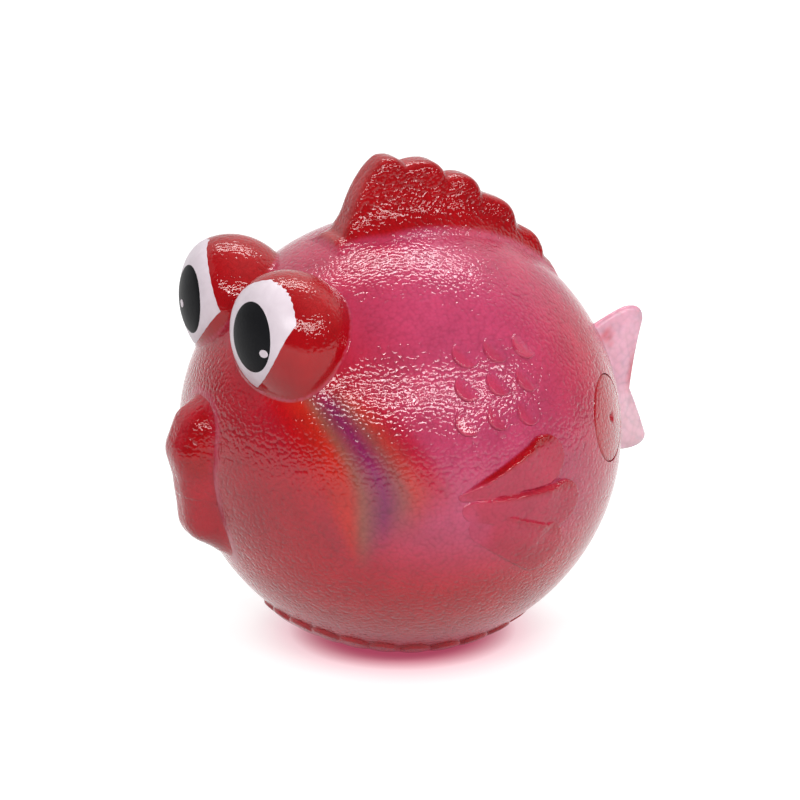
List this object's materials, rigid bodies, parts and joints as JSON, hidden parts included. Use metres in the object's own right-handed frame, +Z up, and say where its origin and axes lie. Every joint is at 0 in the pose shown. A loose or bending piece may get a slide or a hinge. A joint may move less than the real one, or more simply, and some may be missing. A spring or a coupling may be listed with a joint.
{
  "type": "squeaky dog toy",
  "caption": "Hollow soft rubber ball shaped as a fish, with bulging printed eyes, lips, fins and tail, and a reed squeaker held by a flush plug; it squeaks when squeezed.",
  "frame": {"origin": "centre of the belly rest flat, under the middle of the ball", "axes": "-Y is where the toy faces, +X is its left side, +Z is up"},
  "size_m": [0.0876, 0.1016, 0.0964],
  "materials": {
    "skin": "translucent, finely dimpled gloss",
    "deep_rubber": "translucent, finely dimpled gloss",
    "pale_rubber": "thin translucent gloss",
    "white_ink": "printed ink",
    "black_ink": "printed ink",
    "clear_plastic": "moulded",
    "reed_film": "thin film"
  },
  "bodies": {
    "toy": {"body_skin": "skin", "left_eye": "deep_rubber", "right_eye": "deep_rubber", "left_eye_white": "white_ink", "right_eye_white": "white_ink", "left_pupil": "black_ink", "right_pupil": "black_ink", "left_eye_glint": "white_ink", "right_eye_glint": "white_ink", "upper_lip": "deep_rubber", "lower_lip": "deep_rubber", "left_side_fin": "deep_rubber", "right_side_fin": "deep_rubber", "left_scales": "skin", "right_scales": "skin", "belly_frill": "deep_rubber", "tail_fin": "pale_rubber"},
    "squeaker": {"squeaker_plug": "deep_rubber", "squeaker_housing": "clear_plastic", "squeaker_cap": "clear_plastic", "reed_block": "clear_plastic", "reed_clamp": "clear_plastic"},
    "back": {"back_fin": "deep_rubber"},
    "reed": {"squeaker_reed": "reed_film"}
  },
  "joints": [
    {"name": "squeeze", "type": "slide", "parent": "toy", "child": "back", "axis": [0, 0, -1], "range_m": [0, 0.022], "stiffness_N_per_m": 1500, "deforming": ["body_skin"]},
    {"name": "plug_sink", "type": "slide", "parent": "toy", "child": "squeaker", "axis": [0, 0, -1], "range_m": [0, 0.01262], "deforming": ["body_skin"]},
    {"name": "reed_flex", "type": "hinge", "parent": "squeaker", "child": "reed", "pos_m": [0.02443, 0.0262, 0.04692], "axis": [-0.7314, 0.682, 0], "range_deg": [-3.6, 6], "stiffness_Nm_per_rad": 0.00002}
  ],
  "couplings": [
    {"joint": "plug_sink", "follows": "squeeze", "ratio": 0.5735}
  ]
}
